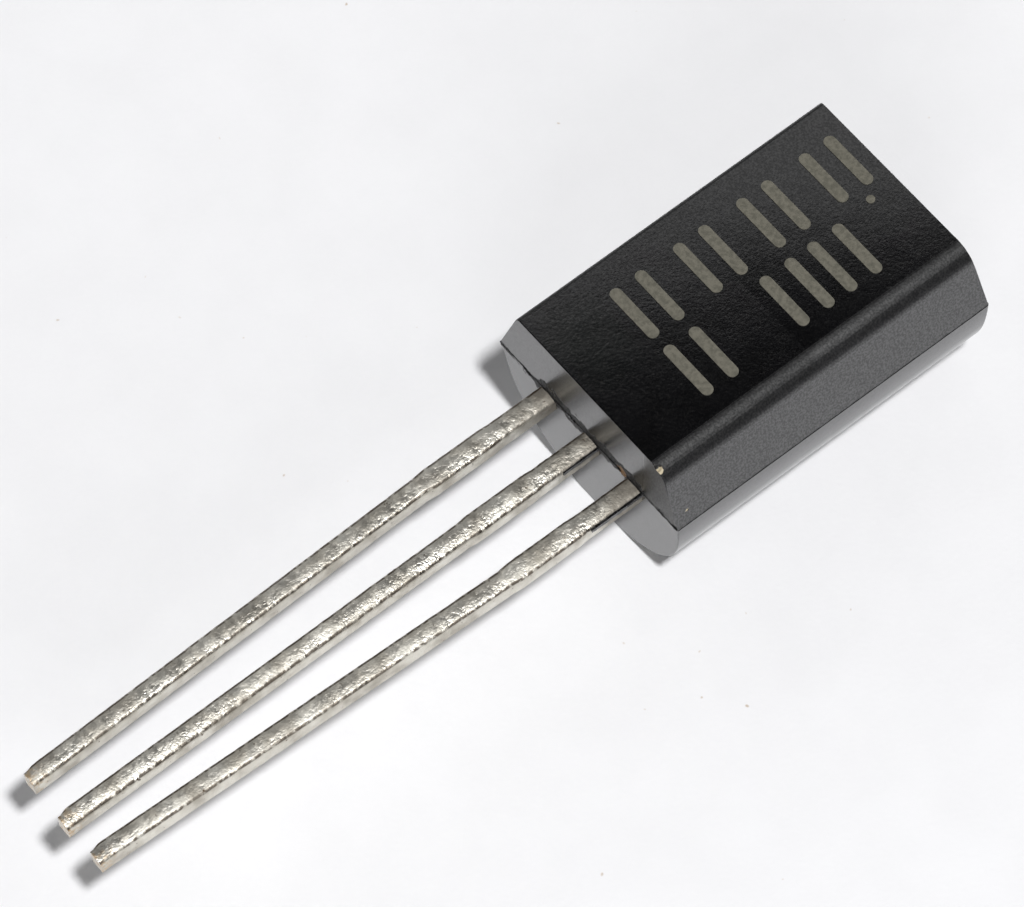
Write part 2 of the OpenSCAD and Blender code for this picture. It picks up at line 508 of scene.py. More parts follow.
@dataclass(frozen=True)
class Finish:
    """A named material that is made once."""

    name: str

    def make(self) -> bpy.types.Material:
        """Makes the material with its node tree.

        Returns:
            The material.
        """
        material = bpy.data.materials.new(self.name)
        material.use_nodes = True
        add = Shader(material.node_tree).add
        add("OutputMaterial", self.paint(add, add("TexCoord").outputs["Object"]))
        return material

    def paint(self, add: Adder, place: Socket) -> bpy.types.Node:
        """Builds the surface.

        Args:
            add: Adds a node to the material.
            place: Object coordinates, in metres.

        Returns:
            The surface's shader node.
        """
        raise NotImplementedError

    def relief(self, add: Adder, *layers: tuple[Any, float]) -> Any:
        """Lays reliefs on one another, the lowest first.

        Args:
            add: Adds a node to the material.
            *layers: Height, from zero to one, and depth in millimetres.

        Returns:
            The node that gives the normal.
        """
        below: dict[str, Any] = {}
        for height, depth in layers:
            below = {"normal": add("Bump", height=height, distance=depth * MM, **below)}
        return below["normal"]


@dataclass(frozen=True)
class MouldedEpoxy(Finish):
    """Black epoxy moulding compound with silica filler, transfer moulded.

    The mould is polished at the marking face and eroded at the sides, so the eye gets a deep
    black gloss on top, an even grey at the sides, and the filler as salt-and-pepper speckle.
    The lead end is worn where the flash was broken off.
    """

    name: str = "moulded_epoxy"
    resin: str = "#050506"
    skin: str = "#09090b"
    speck: str = "#1a1918"
    bare: str = "#b5a98e"
    stain: str = "#7c5a30"
    # Grain of the patterns and depth of the reliefs, in millimetres. The real filler is finer
    # than 0.045; it is drawn as coarse as it has to be to show.
    grain: float = 0.07
    grain_relief: float = 0.0022
    filler: float = 0.045
    wave: float = 0.9
    wave_relief: float = 0.004
    torn_grain: float = 0.1
    torn_relief: float = 0.03
    torn_edge: float = 0.22
    twist_relief: float = 0.08
    spot_edge: float = 0.06
    # Roughness of each kind of surface, and what wear adds.
    polished: float = 0.075
    eroded: float = 0.265
    uneven: float = 0.08
    end_worn: float = 0.14
    turn_worn: float = 0.05
    torn: float = 0.62
    # Gloss: full level, and shares of it that are lost.
    gloss: float = 0.5
    turn_dull: float = 0.6
    side_dull: float = 0.12
    torn_dull: float = 0.55
    mottle: float = 0.42
    ior: float = 2.18
    # Places on the body.
    corner_x: float = 1.8
    corner_slope: float = 3.0
    upper_slope: float = 40.0
    body_w: float = 6.0
    parting: float = 0.0
    low_y: float = 0.0
    length: float = 1.0
    # Slope and level of each mask.
    front_mask: Pair = (12.0, 0.75)
    end_mask: Pair = (-8.0, -6.0)
    spot_mask: Pair = (6.0, 3.0)
    torn_rag: Pair = (0.6, -0.3)
    torn_slope: float = 30.0
    torn_above: Stops = ((0.0, 0.0), (0.2, 0.02), (0.24, 0.24), (0.75, 0.28), (0.82, 0.04))
    torn_below: Stops = ((0.0, 0.12), (0.2, 0.24), (0.7, 0.18), (0.8, 0.02))
    bare_spots: Spots = (((2.3, 2.83, 4.74), 0.1), ((2.9, 3.08, 3.52), 0.07))
    stain_spots: Spots = (((1.1, 2.72, 3.16), 0.16),)

    def _spots(self, add: Adder, place: Socket, spots: Spots) -> Any:
        """Masks a few ragged spots.

        Args:
            add: Adds a node to the material.
            place: Object coordinates, in metres.
            spots: Middle and radius of each.

        Returns:
            One inside the spots, zero outside.
        """
        ragged = add("TexNoise", place, PER_MM / self.spot_edge, 2.0)
        total: Any = 0.0
        for middle, radius in spots:
            away = add("VectorMath", place, Vector(middle) * MM, operation="DISTANCE")
            share = add("Math", away, -PER_MM / radius, ragged, **LINE)
            total = add("Math", total, add("Math", share, *self.spot_mask, **CLAMPED), **LARGER)
        return total

    def _faces(self, add: Adder, place: Socket) -> tuple[Any, Any, Any]:
        """Masks the body's surfaces by the way they face.

        Args:
            add: Adds a node to the material.
            place: Object coordinates, in metres.

        Returns:
            One on the eroded surfaces, on the rounded long edges, and on the lead end.
        """
        facing_x, facing_y, facing_z = add(
            "SeparateXYZ", add("TexCoord").outputs["Normal"]
        ).outputs
        x, _, z = add("SeparateXYZ", place).outputs
        lean = add("Math", facing_x, operation="ABSOLUTE")
        front = add("Math", facing_z, *self.front_mask, **CLAMPED)
        side = add("ValToRGB", lean, stops=((0.0, 0.0), (0.02, 0.6), (0.1, 1.0)))
        turn = add("ValToRGB", lean, stops=((0.02, 0.0), (0.1, 1.0), (0.85, 1.0), (0.95, 0.0)))
        end = add("Math", facing_y, *self.end_mask, **CLAMPED)
        slope, steep = self.corner_slope, self.upper_slope
        right = add("Math", x, slope * PER_MM, -slope * self.corner_x, **CLAMPED)
        upper = add("Math", z, steep * PER_MM, -steep * self.parting, **CLAMPED)
        corner = add("Math", add("Math", end, upper, **TIMES), right, **TIMES)
        side = add("Math", add("Math", side, front, **TIMES), corner, **LARGER)
        return side, add("Math", turn, front, **TIMES), end

    def _torn_band(self, add: Adder, place: Socket, end: Any) -> Any:
        """Masks the ragged band at the lead end where the flash has been broken off.

        Args:
            add: Adds a node to the material.
            place: Object coordinates, in metres.
            end: One on the lead end's faces.

        Returns:
            One in the band.
        """
        x, _, z = add("SeparateXYZ", place).outputs
        across = add("Math", x, PER_MM / self.body_w, 0.5, **LINE)
        height = add("Math", z, PER_MM, -self.parting, **LINE)
        ragged = add("TexNoise", place, PER_MM / self.torn_edge, 3.0)
        ragged = add("Math", ragged, *self.torn_rag, **LINE)
        above = add("Math", add("ValToRGB", across, stops=self.torn_above), ragged)
        below = add("Math", add("ValToRGB", across, stops=self.torn_below), ragged)
        top = add("Math", above, height, operation="SUBTRACT")
        foot = add("Math", below, height)
        band = add("Math", top, foot, operation="MINIMUM")
        band = add("Math", band, self.torn_slope, operation="MULTIPLY", use_clamp=True)
        return add("Math", band, end, **TIMES)

    def _twist(self, add: Adder, place: Socket) -> Any:
        """Gives the height of the sink marks that turn the marking face a little at both ends.

        Args:
            add: Adds a node to the material.
            place: Object coordinates, in metres.

        Returns:
            The height, from zero to one.
        """
        x, y, _ = add("SeparateXYZ", place).outputs
        across = add("Math", x, PER_MM / self.body_w, 0.5, **LINE)
        along = add("Math", y, PER_MM / self.length, -self.low_y / self.length, **LINE)
        warp = add("ValToRGB", along, stops=((0.0, 1.0), (0.5, 0.0), (1.0, 0.7)))
        return add("Math", across, warp, **TIMES)

    def paint(self, add: Adder, place: Socket) -> bpy.types.Node:
        """Builds the resin; see the base class."""
        fine = add("TexNoise", place, PER_MM / self.grain, 3.0, 0.65)
        cloud = add("TexNoise", place, PER_MM / self.wave, 2.0)
        filler = add("TexNoise", place, PER_MM / self.filler, 1.0)
        side, turn, end = self._faces(add, place)
        torn = self._torn_band(add, place, end)

        clouded = add("ValToRGB", cloud, stops=((0.3, 0.0), (0.7, 1.0)))
        colour = add("Mix", clouded, srgb(self.resin), srgb(self.skin), **COLOURS)
        specks = add("ValToRGB", filler, stops=((0.66, 0.0), (0.74, 1.0)))
        colour = add("Mix", specks, colour, srgb(self.speck), **COLOURS)
        for spots, code in ((self.bare_spots, self.bare), (self.stain_spots, self.stain)):
            mask = self._spots(add, place, spots)
            colour = add("Mix", mask, colour, srgb(code), **COLOURS)

        rough = add("Math", side, self.eroded, self.polished, **LINE)
        rough = add("Math", end, self.end_worn, rough, **LINE)
        rough = add("Math", turn, self.turn_worn, rough, **LINE)
        rough = add("Math", fine, self.uneven, rough, **LINE)
        more = add("Math", self.torn, rough, operation="SUBTRACT")
        rough = add("Math", torn, more, rough, **LINE)

        grit = add("ValToRGB", filler, stops=((0.38, 0.0), (0.62, 1.0)))
        spread = add("Math", grit, self.mottle, 1.0 - self.mottle / 2, **LINE)
        spread = add("Math", torn, -self.torn_dull, spread, **LINE)
        spread = add("Math", side, -self.side_dull, spread, **LINE)
        gloss = add("Math", turn, -self.gloss * self.turn_dull, self.gloss, **LINE)

        tear = add("TexNoise", place, PER_MM / self.torn_grain, 2.0)
        normal = self.relief(
            add,
            (self._twist(add, place), self.twist_relief),
            (cloud, self.wave_relief),
            (add("Math", torn, tear, **TIMES), self.torn_relief),
            (fine, self.grain_relief),
        )
        return add(
            "BsdfPrincipled",
            base_color=colour,
            roughness=rough,
            ior=self.ior,
            specular_ior_level=add("Math", gloss, spread, **TIMES),
            normal=normal,
        )


@dataclass(frozen=True)
class TinnedLead(Finish):
    """Copper alloy sheet, stamped and hot-dipped in tin, a little tarnished.

    The dip freezes in low lumps, so the metal glints in flecks and looks warm grey between
    them. The upper long edges get a thin dark line painted into their colour, partly a real burr
    and partly a painted reflection of the dark room; the cut tips show as bare copper.
    """

    name: str = "tinned_lead"
    root_y: float = 0.0
    tip_y: float = 0.0
    root_l: float = 1.7
    tip_l: float = 0.55
    tin: str = "#e6e3da"
    tarnish: str = "#c6c1b6"
    root: str = "#8f8a81"
    spot: str = "#5d4b38"
    copper: str = "#c4aa86"
    # Colour of the dark edge line: partly a real burr, partly a painted reflection of the dark
    # room.
    burr_and_dark_reflection: str = "#4a3d30"
    # Grain of the patterns and depth of the reliefs, in millimetres.
    lump: float = 0.16
    lump_relief: float = 0.03
    fine: float = 0.05
    fine_relief: float = 0.008
    cloud: float = 0.6
    spot_grain: float = 0.11
    burr_grain: float = 0.14
    dull_grain: float = 2.6
    root_rag: float = 1.2
    upper_slope: float = 4.0
    # Roughness of the bright tin, and what lumps, dull patches and the root add.
    bright: float = 0.3
    lump_rough: float = 0.24
    dull_rough: float = 0.14
    root_rough: float = 0.2

    def _edges(self, add: Adder, place: Socket, near: Any) -> Any:
        """Masks the upper long edges for a painted dark line: part burr, part painted reflection.

        Args:
            add: Adds a node to the material.
            place: Object coordinates, in metres.
            near: One at the body, where the right edge is clean.

        Returns:
            One on the painted dark line, part burr and part reflection.
        """
        x, _, z = add("SeparateXYZ", add("TexCoord").outputs["Normal"]).outputs
        lean = add("Math", x, 0.5, 0.5, **LINE)
        left = add("ValToRGB", lean, stops=((0.02, 0.0), (0.08, 1.0), (0.34, 1.0), (0.41, 0.0)))
        right = add("ValToRGB", lean, stops=((0.64, 0.0), (0.75, 1.0), (0.9, 1.0), (0.96, 0.0)))
        away = add("Math", 1.0, near, operation="SUBTRACT")
        edge = add("Math", left, add("Math", right, away, **TIMES))
        upper = add("Math", z, self.upper_slope, 0.0, **CLAMPED)
        edge = add("Math", edge, upper, **TIMES)
        broken = add("TexNoise", place, PER_MM / self.burr_grain, 3.0)
        broken = add("ValToRGB", broken, stops=((0.36, 0.15), (0.5, 0.85)))
        return add("Math", edge, broken, **TIMES)

    def paint(self, add: Adder, place: Socket) -> bpy.types.Node:
        """Builds the tin; see the base class."""
        lumps = add("TexNoise", place, PER_MM / self.lump, 3.0, 0.6)
        fine = add("TexNoise", place, PER_MM / self.fine, 2.0)
        cloud = add("TexNoise", place, PER_MM / self.cloud, 2.0)
        spots = add("TexNoise", place, PER_MM / self.spot_grain, 2.0)
        dull = add("TexNoise", place, PER_MM / self.dull_grain, 1.0)
        _, y, _ = add("SeparateXYZ", place).outputs
        root, tip = self.root_y / self.root_l, self.tip_y / self.tip_l
        near = add("Math", y, PER_MM / self.root_l, 1.0 - root, **CLAMPED)
        ragged = add("Math", cloud, 0.5, operation="SUBTRACT")
        near = add("Math", ragged, self.root_rag, near, **CLAMPED)
        cut = add("Math", y, -PER_MM / self.tip_l, 1.0 + tip, **CLAMPED)
        patchy = add("ValToRGB", spots, stops=((0.45, 0.0), (0.62, 0.9)))
        cut = add("Math", cut, patchy, **TIMES)

        clouded = add("ValToRGB", cloud, stops=((0.35, 0.0), (0.65, 1.0)))
        specks = add("ValToRGB", spots, stops=((0.69, 0.0), (0.8, 1.0)))
        colour = add("Mix", clouded, srgb(self.tin), srgb(self.tarnish), **COLOURS)
        for mask, code in (
            (near, self.root),
            (cut, self.copper),
            (specks, self.spot),
            # painted dark line on the upper edges: part burr, part painted reflection of the dark
            # room
            (self._edges(add, place, near), self.burr_and_dark_reflection),
        ):
            colour = add("Mix", mask, colour, srgb(code), **COLOURS)

        lumpy = add("ValToRGB", lumps, stops=((0.35, 0.0), (0.65, 1.0)))
        dulled = add("ValToRGB", dull, stops=((0.35, 0.0), (0.62, 1.0)))
        rough = add("Math", lumpy, self.lump_rough, self.bright, **LINE)
        rough = add("Math", dulled, self.dull_rough, rough, **LINE)
        rough = add("Math", near, self.root_rough, rough, **LINE)
        normal = self.relief(add, (lumps, self.lump_relief), (fine, self.fine_relief))
        return add(
            "BsdfPrincipled", base_color=colour, metallic=1.0, roughness=rough, normal=normal
        )


@dataclass(frozen=True)
class StampedInk(Finish):
    """Warm grey marking ink, pad printed and cured, thin enough to look slightly starved."""

    name: str = "marking_ink"
    ink: str = "#69665b"
    thin: str = "#555349"
    patch: float = 0.12
    grain: float = 0.04
    grain_relief: float = 0.003
    rough: float = 0.6
    uneven: float = 0.2

    def paint(self, add: Adder, place: Socket) -> bpy.types.Node:
        """Builds the ink; see the base class."""
        patches = add("TexNoise", place, PER_MM / self.patch, 3.0, 0.7)
        fine = add("TexNoise", place, PER_MM / self.grain, 2.0)
        starved = add("ValToRGB", patches, stops=((0.4, 0.0), (0.62, 1.0)))
        colour = add("Mix", starved, srgb(self.ink), srgb(self.thin), **COLOURS)
        rough = add("Math", fine, self.uneven, self.rough, **LINE)
        normal = self.relief(add, (fine, self.grain_relief))
        return add("BsdfPrincipled", base_color=colour, roughness=rough, normal=normal)


@dataclass(frozen=True)
class InnerMetal(Finish):
    """A metal inside the body: drawn wire, evaporated film or soft solder.

    It is seen only with the body hidden, as a clean sheen that is finely mottled.
    """

    colour: str
    dull: str
    grain: float
    grain_relief: float
    rough: float
    uneven: float = 0.2

    def paint(self, add: Adder, place: Socket) -> bpy.types.Node:
        """Builds the metal; see the base class."""
        grain = add("TexNoise", place, PER_MM / self.grain, 3.0)
        patches = add("ValToRGB", grain, stops=((0.35, 0.0), (0.7, 1.0)))
        colour = add("Mix", patches, srgb(self.colour), srgb(self.dull), **COLOURS)
        rough = add("Math", grain, self.uneven, self.rough, **LINE)
        normal = self.relief(add, (grain, self.grain_relief))
        return add(
            "BsdfPrincipled", base_color=colour, metallic=1.0, roughness=rough, normal=normal
        )


@dataclass(frozen=True)
class DicedSilicon(Finish):
    """Silicon chip, polished under its oxide and sawn at the edges: dark blue-grey, glossy."""

    name: str = "diced_silicon"
    colour: str = "#4d5566"
    oxide: str = "#5f5a78"
    film: float = 0.2
    saw: float = 0.015
    saw_relief: float = 0.0006
    rough: float = 0.1
    uneven: float = 0.2
    ior: float = 1.5
    metal: float = 0.4

    def paint(self, add: Adder, place: Socket) -> bpy.types.Node:
        """Builds the chip; see the base class."""
        film = add("TexNoise", place, PER_MM / self.film, 2.0)
        saw = add("TexNoise", place, PER_MM / self.saw, 2.0)
        return add(
            "BsdfPrincipled",
            base_color=add("Mix", film, srgb(self.colour), srgb(self.oxide), **COLOURS),
            roughness=add("Math", saw, self.uneven, self.rough, **LINE),
            ior=self.ior,
            metallic=self.metal,
            normal=self.relief(add, (saw, self.saw_relief)),
        )


@dataclass(frozen=True)
class Paper(Finish):
    """Uncoated white paper: matt, faintly cloudy, with a few stray specks of dust."""

    name: str = "paper"
    white: str = "#f1f1f3"
    cloud: str = "#eeeef0"
    dust: str = "#c9b9a9"
    cloud_grain: float = 2.5
    dust_grain: float = 0.35
    fibre: float = 0.12
    fibre_relief: float = 0.006
    rough: float = 0.9
    gloss: float = 0.2

    def paint(self, add: Adder, place: Socket) -> bpy.types.Node:
        """Builds the paper; see the base class."""
        clouds = add("TexNoise", place, PER_MM / self.cloud_grain, 4.0, 0.6)
        fibres = add("TexNoise", place, PER_MM / self.fibre, 2.0)
        dust = add("TexNoise", place, PER_MM / self.dust_grain, 1.0)
        cloudy = add("ValToRGB", clouds, stops=((0.35, 0.0), (0.65, 1.0)))
        dusty = add("ValToRGB", dust, stops=((0.79, 0.0), (0.83, 1.0)))
        colour = add("Mix", cloudy, srgb(self.white), srgb(self.cloud), **COLOURS)
        return add(
            "BsdfPrincipled",
            base_color=add("Mix", dusty, colour, srgb(self.dust), **COLOURS),
            roughness=self.rough,
            specular_ior_level=self.gloss,
            normal=self.relief(add, (fibres, self.fibre_relief)),
        )


# ---------------------------------------------------------------- the part


def lowest(edge: Any) -> float:
    """Gives the height of an edge's lower end."""
    return min(v.co.z for v in edge.verts)


def is_rim(edge: Any, least: float) -> bool:
    """Tells whether an edge runs across the part between two faces that meet sharply.

    Args:
        edge: The edge.
        least: Angle between the faces' normals, in degrees.

    Returns:
        True for an edge of the end face's rim.
    """
    a, b = (v.co for v in edge.verts)
    if len(edge.link_faces) != 2 or abs(a.y - b.y) > ACROSS:
        return False
    first, second = (face.normal for face in edge.link_faces)
    return first.angle(second) > math.radians(least)


class InnerEnd(Enum):
    """What a lead turns into inside the body."""

    POST = "bond post"
    FLAG = "die flag"


@dataclass
class Lead:
    """One stamped lead with its inner end, from its tip to its post or flag."""

    node: str
    inner_end: InnerEnd
    lean: float
    trim: float = 0.0
    seed: int = 1
    seam: float = 1.0
    root_w: float = 0.5
    dam_w: float = 0.54
    free_w: float = 0.48
    tip_w: float = 0.45
    length: float = 13.95
    dam_near: float = 1.7
    dam_l: float = 1.5
    dam_ramp: float = 0.25
    corner_l: float = 0.25
    corner_w: float = 0.09
    twist: float = 0.0
    ridge_x: float = -0.05
    right_fall: float = 0.06
    left_fall: float = 0.03
    ridge_round: float = 0.1
    right_round: float = 0.09
    left_round: float = 0.07
    under_round: float = 0.03
    shoulder: float = 0.02
    neck_bevelled: float = 0.3
    post_neck: float = 1.2
    post_w: float = 1.3
    post_l: float = 1.2
    flag_gap: float = 0.35
    flag_w: float = 3.4
    flag_l: float = 3.6
    step: float = 0.07
    least_gap: float = 0.02
    dip_depth: float = 0.014
    dip_grain: float = 0.22
    dip_fade: float = 0.4
    dip_lap: float = 0.05
    piece: Workpiece = field(init=False)
    root_x: float = field(init=False)
    root_y: float = field(init=False)
    low_z: float = field(init=False)
    top_z: float = field(init=False)

    def _stations(self) -> list[tuple[float, float, float]]:
        """Lists where the lead's outline changes, from the body to the tip.

        Returns:
            Distance from the body, sideways place and width at each station.
        """
        reach = self.length - self.trim
        far = self.dam_near + self.dam_l
        return [
            (self.dam_near - self.dam_ramp, 0.0, self.root_w),
            (self.dam_near, 0.0, self.dam_w),
            (far, 0.0, self.dam_w),
            (far + self.dam_ramp, 0.0, self.free_w),
            (reach - self.corner_l, self.lean, self.tip_w),
            (reach, self.lean, self.tip_w),
        ]

    def _read_frame(self) -> None:
        """Takes the lead's height and its middle at the body from the frame."""
        low, high = node_box(self.node)
        flag_low, flag_high = node_box("collector_lead")
        x = (flag_low.x + flag_high.x) / 2
        if self.inner_end is InnerEnd.POST:
            side = -1 if (low.x + high.x) / 2 < x else 1
            edge = low.x if side < 0 else high.x
            x = edge - side * self.post_w / 2
        self.root_x, self.root_y = x, node_box("epoxy_body")[0].y
        self.low_z, self.top_z = low.z, high.z

    def _grow(self, step: Triple, ratio: float = 1.0, middle: Triple = (0, 0, 0)) -> None:
        """Extrudes an end face, and gives it a new width.

        Args:
            step: How far it moves; the face at the tip goes down along Y, the inner one up.
            ratio: New width over old width.
            middle: The new face's middle, if its width changes.
        """
        mesh = bmesh.from_edit_mesh(self.piece.obj.data)
        ends = [v.co.y for v in mesh.verts]
        goal = min(ends) if step[1] < 0 else max(ends)
        self.piece.pick(Pick.FACE, lambda f: all(abs(v.co.y - goal) < TOUCH for v in f.verts))
        bpy.ops.mesh.extrude_region_move(TRANSFORM_OT_translate={"value": step})
        if ratio != 1:
            bpy.ops.transform.resize(value=(ratio, 1, 1), center_override=middle)

    def build(self) -> None:
        """Models the lead in place: extruded along its stations, then rounded and divided."""
        self._read_frame()
        x, root_y, z = self.root_x, self.root_y, (self.low_z + self.top_z) / 2
        (place, side_x, width), *stations = self._stations()
        part = self.piece = Workpiece(self.node + "_stamped").block(
            (x - width / 2, root_y - place, self.low_z), (x + width / 2, root_y, self.top_z)
        )
        with part.editing():
            self._crown()
            for distance, shift, new_width in stations:
                step = (shift - side_x, place - distance, 0)
                self._grow(step, new_width / width, (x + shift, root_y - distance, z))
                place, side_x, width = distance, shift, new_width
            tip, edge_x = root_y - place, x + side_x - width / 2
            part.pick(
                Pick.VERT, lambda v: abs(v.co.y - tip) < TOUCH and abs(v.co.x - edge_x) < SLACK
            )
            bpy.ops.transform.translate(value=(self.corner_w, 0, 0))
            self._inner()
            self._round_edges()
            self._divide()
            free = root_y - self.dam_near - self.dam_l - self.dam_ramp / 2
            if self.twist and part.pick(Pick.VERT, lambda v: v.co.y < free):
                bpy.ops.transform.rotate(
                    value=math.radians(self.twist), orient_axis="Y", center_override=(x, free, z)
                )

    def _crown(self) -> None:
        """Gives the first block's top a low ridge that falls away to both sides."""
        x, top_z = self.root_x, self.top_z
        self.piece.pick(
            Pick.EDGE,
            lambda e: abs(e.verts[0].co.y - e.verts[1].co.y) < TOUCH and lowest(e) > top_z - TOUCH,
        )
        bpy.ops.mesh.subdivide(number_cuts=1)
        self._shift_top(lambda v: abs(v.co.x - x) < TOUCH, (self.ridge_x, 0, 0))
        self._shift_top(lambda v: v.co.x > x + ASIDE, (0, 0, -self.right_fall))
        self._shift_top(lambda v: v.co.x < x - ASIDE, (0, 0, -self.left_fall))

    def _shift_top(self, wanted: Wish, step: Triple) -> None:
        """Moves the vertices of the upper side that are wanted."""
        self.piece.pick(Pick.VERT, lambda v: v.co.z > self.top_z - ASIDE and wanted(v))
        bpy.ops.transform.translate(value=step)

    def _inner(self) -> None:
        """Extrudes the neck and the post or flag inside the body."""
        x, neck = self.root_x, self.post_neck
        end_w, end_l = self.post_w, self.post_l
        if self.inner_end is InnerEnd.FLAG:
            neck += self.post_l + self.flag_gap
            end_w, end_l = self.flag_w, self.flag_l
        self._grow((0, self.neck_bevelled, 0))
        goal = self.root_y + self.neck_bevelled - SLACK
        self._shift_top(lambda v: v.co.y > goal and v.co.x > x + ASIDE, (0, 0, self.right_fall))
        self._shift_top(lambda v: v.co.y > goal and v.co.x < x - ASIDE, (0, 0, self.left_fall))
        self._grow((0, neck - self.neck_bevelled, 0))
        middle = (x, self.root_y + neck, (self.low_z + self.top_z) / 2)
        self._grow((0, self.shoulder, 0), end_w / self.root_w, middle)
        self._grow((0, end_l - self.shoulder, 0))

    def _round_edges(self) -> None:
        """Rounds the ridge and the long edges outside the body."""

        def along(edge: Any, height: float) -> bool:
            """Tells whether an edge runs along the outer lead at this height."""
            a, b = (v.co for v in edge.verts)
            runs = abs(a.y - b.y) > 1.2 * abs(a.x - b.x) and abs(a.z - b.z) < TOUCH
            return runs and abs(a.z - height) < TOUCH and max(a.y, b.y) < self.root_y + SLACK

        for height, width, steps in (
            (self.top_z, self.ridge_round, 5),
            (self.top_z - self.right_fall, self.right_round, 5),
            (self.top_z - self.left_fall, self.left_round, 3),
            (self.low_z, self.under_round, 2),
        ):
            self.piece.bevel(lambda e: along(e, height), width, steps)

    def _divide(self) -> None:
        """Divides the outer lead finely enough for the dip's lumps."""
        inner = self.root_y + SLACK
        mesh = bmesh.from_edit_mesh(self.piece.obj.data)
        stops = sorted({round(v.co.y, 3) for v in mesh.verts if v.co.y < inner})
        merged = stops[:1]
        for stop in stops[1:]:
            if stop - merged[-1] > self.least_gap:
                merged.append(stop)
        for low, high in zip(merged, merged[1:]):
            cuts = round((high - low) / self.step) - 1
            if cuts < 1:
                continue
            mid, most = (low + high) / 2, 0.3 * (high - low)
            self.piece.pick(
                Pick.EDGE,
                lambda e: min(v.co.y for v in e.verts) < mid - most
                and mid + most < max(v.co.y for v in e.verts) < inner,
            )
            bpy.ops.mesh.subdivide(number_cuts=cuts)

    def dip(self) -> None:
        """Lays the frozen lumps of the tin dip on the outer lead."""
        group = self.piece.obj.vertex_groups.new(name="outer")
        for vertex in self.piece.obj.data.vertices:
            weight = min(1.0, (self.root_y - vertex.co.y + self.dip_lap) / self.dip_fade)
            if weight > 0:
                group.add([vertex.index], weight, "REPLACE")
        self.piece.roughen(self.dip_depth, self.dip_grain, self.seed, "outer")

    def dress(self, tin: bpy.types.Material) -> bpy.types.Object:
        """Finishes the lead.

        Args:
            tin: The tinned metal.

        Returns:
            The finished piece.
        """
        obj = self.piece.finish(40)
        dress(obj, tin)
        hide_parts(self.node)
        return obj


